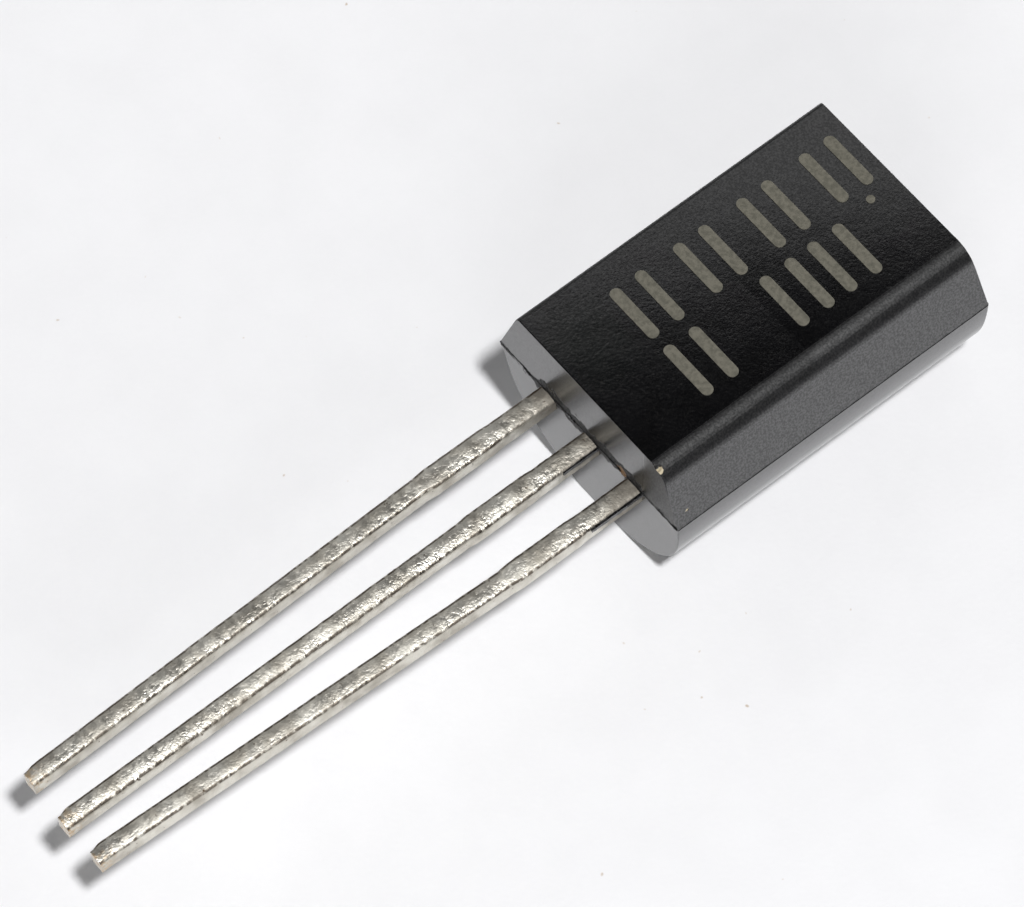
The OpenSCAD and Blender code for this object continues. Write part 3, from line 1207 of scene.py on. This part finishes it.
@dataclass
class MouldedBody:
    """The moulded epoxy body: two mould halves, a parting line with flash, and lead sockets."""

    node: str = "epoxy_body"
    front_w: float = 6.0
    front_x: float = -0.04
    back_w: float = 5.945
    back_x: float = 0.0
    top_left: float = 2.4
    top_right: float = 2.475
    left_r: float = 0.13
    right_r: float = 0.54
    edge_steps: int = 10
    front_lead_draft: float = 3.0
    front_far_draft: float = 3.2
    back_draft: float = 1.7
    side_draft: float = 11.0
    side_bulge: float = 0.065
    side_steps: int = 6
    flat_w: float = 1.25
    round_sides: int = 160
    face_edge: float = 0.02
    back_edge: float = 0.025
    far_edge: float = 0.07
    far_out: float = 0.03
    fin_out: float = 0.014
    fin_in: float = 0.12
    fin_t: float = 0.03
    fin_rag: float = 0.035
    fin_grain: float = 0.13
    fin_step: float = 0.05
    fin_above: float = 0.3
    fin_inset: float = 0.02
    far_inset: float = 0.4
    torn_t: float = 0.05
    torn_x: float = 1.4
    torn_lap: float = 0.05
    torn_inset: float = 0.03
    chip_rag: float = 0.5
    chips: tuple[Triple, ...] = (
        (-2.15, 0.0, 0.09),
        (-2.02, 0.01, 0.06),
        (-0.65, 0.0, 0.08),
        (-0.5, 0.01, 0.05),
        (1.0, 0.0, 0.09),
    )
    nicks: Spots = (((2.26, 2.83, 4.8), 0.12), ((2.9, 3.08, 3.52), 0.07))
    seam_w: float = 0.035
    seam_t: float = 0.1
    seam_reach: float = 1.35
    seam_lap: float = 0.02
    seam_root: float = 0.04
    seam_drop: float = 0.007
    lap: float = 0.002
    smooth_below: float = 12.0
    piece: Workpiece = field(init=False)

    def _read_frame(self) -> None:
        """Takes the places of the body and the parting line from the frame."""
        self.low, self.high = node_box(self.node)
        self.parting = node_box("collector_lead")[1].z
        self.back_h = self.parting - self.low.z
        self.front_h = self.high.z - self.parting
        self.middle_y = (self.low.y + self.high.y) / 2
        self.length = self.high.y - self.low.y

    def _front(self) -> Workpiece:
        """Models the front half: a block with leaning sides, drafted ends and rounded edges.

        Returns:
            The front half.
        """
        half, top = self.front_w / 2, self.high.z
        sides = (
            (-1, math.atan((half - self.top_left) / self.front_h), self.left_r),
            (1, math.atan((half - self.top_right) / self.front_h), self.right_r),
        )
        part = Workpiece("front_half").block(
            (self.front_x - half, self.low.y, self.parting), (self.front_x + half, self.high.y, top)
        )
        with part.editing():
            for side, lean, _ in sides:
                part.cut(
                    (self.front_x + side * half, 0, self.parting),
                    (side * math.cos(lean), 0, math.sin(lean)),
                )
            for y, side, draft in (
                (self.low.y, -1, self.front_lead_draft),
                (self.high.y, 1, self.front_far_draft),
            ):
                angle = math.radians(draft)
                part.cut((0, y, self.parting), (0, side * math.cos(angle), math.sin(angle)))
            for side, lean, radius in sides:

                def long_top(edge: Any, side: int = side) -> bool:
                    """Tells whether an edge is the long upper one at this side."""
                    a, b = (v.co for v in edge.verts)
                    runs = abs(a.y - b.y) > 1 and min(a.z, b.z) > top - SLACK
                    return runs and side * (a.x - self.front_x) > 1

                inset = radius * math.tan((math.pi / 2 - lean) / 2)
                part.bevel(long_top, inset, self.edge_steps)
            part.bevel(
                lambda e: lowest(e) >= self.parting + SLACK and is_rim(e, 40), self.face_edge, 3
            )
        return part

    def _back(self) -> Workpiece:
        """Models the back half: a round bar cut flat, its sides drawn up to the parting line.

        Returns:
            The back half.
        """
        half = self.back_w / 2 + self.side_bulge
        angle = math.radians(self.side_draft)
        reach, slope = half * math.cos(angle), math.sin(angle)
        a = 1 - slope * slope
        b = self.back_h - reach * slope
        c = self.back_h**2 + self.flat_w**2 / 4 - reach**2
        drop = (b - math.sqrt(b * b - a * c)) / a
        radius = reach - drop * slope
        tangent_z = self.parting - drop - radius * math.sin(angle)
        length = self.length + self.far_out
        middle = (self.back_x, self.middle_y + self.far_out / 2, self.parting - drop)
        centre = (self.back_x, self.middle_y, self.parting)
        part = Workpiece("back_half").bar(radius, length, middle, self.round_sides)
        with part.editing():
            part.cut((0, 0, tangent_z), (0, 0, 1))
            part.pick(
                Pick.FACE,
                lambda f: f.normal.z > 0.99 and f.calc_center_median().z > tangent_z - SLACK,
            )
            foot = wide = radius * math.cos(angle)
            rise = (self.parting - tangent_z) / self.side_steps
            for step in range(1, self.side_steps + 1):
                share = step / self.side_steps
                wider = foot + share * (half - foot) - self.side_bulge * share**2
                bpy.ops.mesh.extrude_region_move(TRANSFORM_OT_translate={"value": (0, 0, rise)})
                bpy.ops.transform.resize(value=(wider / wide, 1, 1), center_override=centre)
                wide = wider
            part.cut((0, 0, self.low.z), (0, 0, -1))
            draft = math.radians(self.back_draft)
            for y, side in ((self.low.y, -1), (self.high.y + self.far_out, 1)):
                part.cut((0, y, self.parting), (0, side * math.cos(draft), -math.sin(draft)))
            for side, width, steps in ((-1, self.back_edge, 3), (1, self.far_edge, 6)):
                part.bevel(
                    lambda e: side * (e.verts[0].co.y - self.middle_y) >= 0
                    and lowest(e) < self.parting - SLACK
                    and is_rim(e, 50),
                    width,
                    steps,
                )
        return part

    def _sliver(self, low: Sequence[float], high: Sequence[float], seed: int) -> Workpiece:
        """Models one thin ragged strip of resin that has squeezed between two tool faces.

        Args:
            low: Its lowest corner.
            high: Its highest corner.
            seed: Shifts the raggedness.

        Returns:
            The strip.
        """
        size = Vector(high) - Vector(low)
        axis = 1 if size.y > size.x else 0
        sliver = Workpiece("flash").block(low, high)
        with sliver.editing():
            sliver.pick(Pick.EDGE, lambda e: abs(e.verts[0].co[axis] - e.verts[1].co[axis]) > SLACK)
            bpy.ops.mesh.subdivide(number_cuts=round(size[axis] / self.fin_step))
        sliver.roughen(self.fin_rag, self.fin_grain, seed)
        return sliver

    def _flash(self) -> list[Workpiece]:
        """Models the flash: a ragged fin round the parting line.

        Returns:
            The strips that it is made of.
        """
        left, right = self.front_x - self.front_w / 2, self.front_x + self.front_w / 2
        near, far = self.low.y, self.high.y
        out, deep = self.fin_out, self.fin_in
        z0 = self.parting - (1 - self.fin_above) * self.fin_t
        z1 = self.parting + self.fin_above * self.fin_t
        short, inset = far - 2 * self.face_edge, self.far_inset
        torn_left, torn_low = left + self.torn_inset, z0 - self.torn_t
        whole_left, whole_right = self.torn_x - self.torn_lap, right - self.fin_inset
        return [
            self._sliver((right - deep, near, z0), (right + out / 5, short, z1), 11),
            self._sliver((left - out / 2, near, z0), (left + deep, far, z1), 12),
            self._sliver((torn_left, near - out, torn_low), (self.torn_x, near + deep, z1), 13),
            self._sliver((whole_left, near - out, z0), (whole_right, near + deep, z1), 15),
            self._sliver((left + inset, far - deep, z0), (right - inset, far + out, z1), 14),
        ]

    def _damage(self) -> list[Workpiece]:
        """Models what has broken away: torn chips on the parting line and two nicks.

        Returns:
            A cutter for each.
        """
        wounds = [
            ((x, self.low.y + y, self.parting - radius / 3), radius) for x, y, radius in self.chips
        ]
        stones = []
        for place, radius in (*wounds, *self.nicks):
            stone = Workpiece("wound").stone(radius, place)
            stone.roughen(self.chip_rag * radius, radius, round(10 * abs(place[0])))
            stones.append(stone)
        return stones

    def _seam(self, lead: Lead) -> Workpiece:
        """Models the resin that has run along a lead's edge as far as the dam.

        Args:
            lead: The lead.

        Returns:
            The strip of resin.
        """
        x = lead.root_x + lead.root_w / 2
        z = self.parting - lead.right_fall
        near = self.low.y
        return self._sliver(
            (x - self.seam_lap, near - self.seam_reach * lead.seam, z - self.seam_t),
            (x + self.seam_w * lead.seam, near + self.seam_root, z - self.seam_drop),
            20 + lead.seed,
        )

    def build(self, leads: Sequence[Lead], inner_nodes: Sequence[str]) -> None:
        """Models the body and cuts the sockets of everything that it closes round.

        Args:
            leads: The leads, modelled but not yet dipped.
            inner_nodes: CAD nodes that the body holds.
        """
        self._read_frame()
        self.piece = self._front()
        self.piece.combine(self._back(), Join.UNION)
        for fin in self._flash():
            self.piece.combine(fin, Join.UNION)
        for stone in self._damage():
            self.piece.combine(stone, Join.DIFFERENCE)
        for lead in leads:
            socket = Workpiece("socket").twin(lead.piece).clean()
            self.piece.combine(socket, Join.DIFFERENCE)
        for name in inner_nodes:
            pocket = Workpiece("pocket").twin(frame["nodes"][name], PER_MM).clean()
            self.piece.combine(pocket.swell(self.lap), Join.DIFFERENCE)
        for lead in leads:
            if lead.seam:
                self.piece.combine(self._seam(lead), Join.UNION)
        self.piece.obj.name = "moulded_body"

    def dress(self, epoxy: bpy.types.Material) -> bpy.types.Object:
        """Finishes the body.

        Args:
            epoxy: The moulding compound.

        Returns:
            The finished piece.
        """
        obj = self.piece.finish(self.smooth_below, flat_faces=True)
        dress(obj, epoxy)
        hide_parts(self.node)
        return obj


@dataclass
class InnerParts:
    """What the body closes round: chip, solder, electrodes and bond wires, kept as CAD nodes."""

    chip: str = "silicon_die"
    solder: str = "die_attach_solder"
    electrodes: tuple[str, str] = ("emitter_electrode", "base_electrode")
    wires: tuple[str, str] = ("emitter_bond_wire", "base_bond_wire")

    def names(self) -> list[str]:
        """Lists the nodes."""
        return [self.chip, self.solder, *self.electrodes, *self.wires]

    def dress(self) -> None:
        """Gives each inner node its finish."""
        nodes = frame["nodes"]
        dress(nodes[self.chip], DicedSilicon().make())
        solder = InnerMetal("soft_solder", "#a3a3a1", "#7f807f", 0.05, 0.002, 0.32).make()
        dress(nodes[self.solder], solder)
        film = InnerMetal("evaporated_aluminium", "#d3d5d8", "#b3b6ba", 0.01, 0.0004, 0.2).make()
        for name in self.electrodes:
            dress(nodes[name], film)
        gold = InnerMetal("drawn_gold", "#e3b452", "#c99a3c", 0.02, 0.0005, 0.15).make()
        for name in self.wires:
            dress(nodes[name], gold)


# ---------------------------------------------------------------- studio


def part_middle() -> Vector:
    """Gives the middle of the dressed part, in metres."""
    low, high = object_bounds()
    return (Vector(low) + Vector(high)) / 2


@dataclass(frozen=True)
class Viewpoint:
    """A still camera with a long lens, high over the lead side of the part."""

    azimuth: float = 57.3
    elevation: float = 60.6
    roll: float = -6.46
    distance: float = 137.17
    lens: float = 228.46
    sensor: float = 36.0
    aim: Triple = (-0.8375, 1.2886, 0.53)

    def build(self) -> bpy.types.Object:
        """Places the camera and makes it the scene's own.

        Returns:
            The camera's object.
        """
        target = part_middle() + Vector(self.aim) * MM
        around, up = math.radians(self.azimuth), math.radians(self.elevation)
        away = Vector(
            (math.cos(up) * math.sin(around), -math.cos(up) * math.cos(around), math.sin(up))
        )
        level = (-away).cross(Vector((0, 0, 1))).normalized()
        above = level.cross(-away)
        turn = math.radians(self.roll)
        right = math.cos(turn) * level + math.sin(turn) * above
        over = right.cross(-away)
        place = target + away * self.distance * MM
        camera = added("camera", bpy.ops.object.camera_add, location=place)
        camera.rotation_euler = Matrix((right, over, away)).transposed().to_euler()
        camera.data.lens = self.lens
        camera.data.sensor_width = self.sensor
        camera.data.clip_start = 0.001
        camera.data.clip_end = 50
        bpy.context.scene.camera = camera
        return camera


@dataclass(frozen=True)
class Studio:
    """A small key light, a soft panel behind the part, a plain dim room and white paper."""

    key_toward: Triple = (0.392, -0.054, 0.918)
    key_distance: float = 265.0
    key_size: float = 22.0
    key_level: float = 2.87
    panel_rim: Triple = (-19.5, 9.3, 34.8)
    panel_facing: Triple = (0.75, -0.36, -0.2)
    panel_size: tuple[float, float] = (90.0, 40.0)
    panel_level: float = 0.38
    fill_toward: Triple = (0.8, -0.5, 0.45)
    fill_distance: float = 110.0
    fill_size: float = 70.0
    fill_level: float = 1.03
    room: float = 0.035
    dark: float = 0.005
    horizon_low: float = 0.0
    horizon_high: float = 0.1
    paper_size: float = 4000.0

    def _lamp(self, name: str, shape: str, toward: Triple, distance: float) -> bpy.types.Object:
        """Adds a lamp that points at the middle of the part.

        Args:
            name: Its name.
            shape: Blender's name for the shape of its face.
            toward: Direction in which it stands.
            distance: How far away it stands.

        Returns:
            The lamp's object.
        """
        direction = Vector(toward).normalized()
        place = part_middle() + direction * distance * MM
        lamp = added(name, bpy.ops.object.light_add, type="AREA", location=place)
        lamp.data.shape = shape
        lamp.rotation_euler = direction.to_track_quat("Z", "Y").to_euler()
        lamp.visible_camera = False
        return lamp

    def _disk(self, name: str, toward: Triple, distance: float, size: float, level: float) -> None:
        """Adds a round lamp.

        Args:
            name: Its name.
            toward: Direction in which it stands.
            distance: How far away it stands.
            size: Its diameter.
            level: Its light on the part.
        """
        lamp = self._lamp(name, "DISK", toward, distance).data
        lamp.size = size * MM
        lamp.energy = level * math.pi * (distance * MM) ** 2

    def light(self) -> None:
        """Adds the lamps and the room."""
        self._disk("key", self.key_toward, self.key_distance, self.key_size, self.key_level)
        panel = self._lamp("panel", "RECTANGLE", self.panel_rim, 1.0)
        facing = -Vector(self.panel_facing).normalized()
        width, height = (s * MM for s in self.panel_size)
        along = Vector((0, 0, 1)).cross(facing).normalized()
        up = facing.cross(along)
        panel.location = Vector(self.panel_rim) * MM - up * height / 2
        panel.rotation_euler = Matrix((along, up, facing)).transposed().to_euler()
        panel.data.size, panel.data.size_y = width, height
        panel.data.energy = self.panel_level * math.pi * width * height
        self._disk("fill", self.fill_toward, self.fill_distance, self.fill_size, self.fill_level)
        self._room()

    def _room(self) -> None:
        """Sets the world: an even dim room, with a pale band at the horizon in reflections."""
        world = bpy.data.worlds.new("room")
        bpy.context.scene.world = world
        world.use_nodes = True
        add = Shader(world.node_tree).add
        _, _, height = add("SeparateXYZ", add("TexCoord").outputs["Generated"]).outputs
        stops = ((self.horizon_low, 1.0), (self.horizon_high, self.dark))
        path = add("LightPath").outputs
        seen = add("Math", path["Is Camera Ray"], path["Is Glossy Ray"], **LARGER)
        seen = add("Math", seen, path["Is Transmission Ray"], **LARGER)
        even = (self.room, self.room, self.room, 1.0)
        colour = add("Mix", seen, even, add("ValToRGB", height, stops=stops), **COLOURS)
        add("OutputWorld", add("Background", colour, 1.0))

    def floor(self) -> bpy.types.Object:
        """Lays the paper that the part rests on.

        Returns:
            The paper.
        """
        low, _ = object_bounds()
        size, place = self.paper_size * MM, (0, 0, low[2])
        paper = added("paper", bpy.ops.mesh.primitive_plane_add, size=size, location=place)
        bpy.ops.object.transform_apply()
        paper.data.materials.append(Paper().make())
        paper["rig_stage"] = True
        return paper


def main() -> None:
    """Builds the scene in order and reports each piece."""
    logging.basicConfig(level=logging.INFO, format="%(message)s")
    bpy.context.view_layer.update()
    scene = bpy.context.scene
    scene.view_settings.view_transform = "Standard"
    Viewpoint().build()
    studio = Studio()
    studio.floor()
    studio.light()
    leads = [
        Lead(
            "emitter_lead", InnerEnd.POST, lean=0.25, trim=0.05, seed=1, seam=0.0,
            right_fall=0.045, twist=3.0,
        ),
        Lead("collector_lead", InnerEnd.FLAG, lean=0.04, seed=2, seam=0.7),
        Lead(
            "base_lead", InnerEnd.POST, lean=-0.35, trim=0.05, seed=3, seam=1.0,
            right_fall=0.05, twist=3.5,
        ),
    ]
    inner = InnerParts()
    for lead in leads:
        lead.build()
    body = MouldedBody()
    body.build(leads, inner.names())
    tip_y = node_box("collector_lead")[0].y
    tin = TinnedLead(root_y=node_box(body.node)[0].y, tip_y=tip_y).make()
    for lead in leads:
        lead.dip()
        made = lead.dress(tin)
        LOG.info("%s: %d faces", made.name, len(made.data.polygons))
    epoxy = MouldedEpoxy(parting=body.parting, low_y=body.low.y, length=body.length)
    made = body.dress(epoxy.make())
    LOG.info("%s: %d faces", made.name, len(made.data.polygons))
    inner.dress()
    dress(frame["nodes"]["ink_marking"], StampedInk().make())
    LOG.info("inner parts and marking dressed")


if __name__ == "__main__":
    main()
